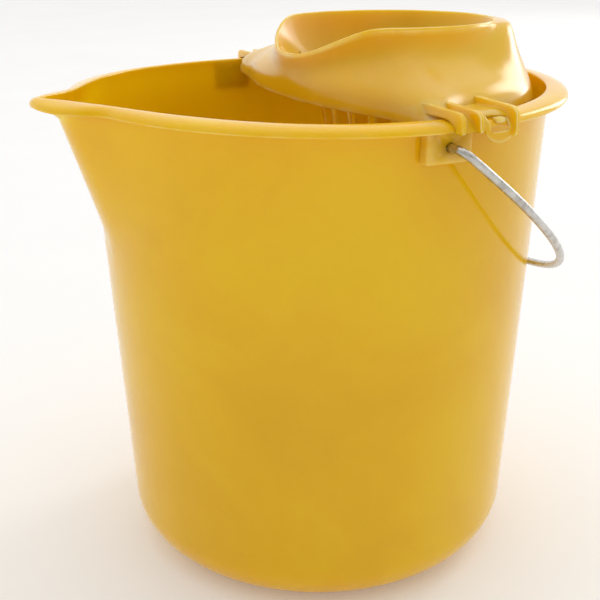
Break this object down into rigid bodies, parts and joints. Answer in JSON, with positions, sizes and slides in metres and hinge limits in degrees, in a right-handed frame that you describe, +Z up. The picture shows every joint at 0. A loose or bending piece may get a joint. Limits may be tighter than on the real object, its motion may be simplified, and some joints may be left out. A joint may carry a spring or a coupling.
{
  "type": "mop bucket with wringer",
  "caption": "Round tapered mop bucket with a pouring spout, a hinged wire bail handle and a lift-off funnel wringer clipped over the rim.",
  "frame": {"origin": "middle of the bucket's underside, on the bucket's axis, at floor level", "axes": "+Z up along the bucket's axis; the spout points along -X; the wringer sits over the +X half; the bail turns about an axis along Y"},
  "size_m": [0.3129, 0.3096, 0.322],
  "materials": {
    "bucket_plastic": "glossy moulded polypropylene, golden yellow",
    "wringer_plastic": "glossy moulded polypropylene, golden yellow",
    "bail_wire": "bright zinc-plated steel wire"
  },
  "bodies": {
    "bucket": {"bucket": "bucket_plastic"},
    "wringer": {"wringer": "wringer_plastic"},
    "bail": {"bail_handle": "bail_wire"}
  },
  "joints": [
    {"name": "bail_swing", "type": "hinge", "parent": "bucket", "child": "bail", "pos_m": [0, 0, 0.274], "axis": [0, -1, 0], "range_deg": [0, 212.5]},
    {"name": "wringer_lift", "type": "slide", "parent": "bucket", "child": "wringer", "axis": [0, 0, 1], "range_m": [0, 0.15]}
  ]
}
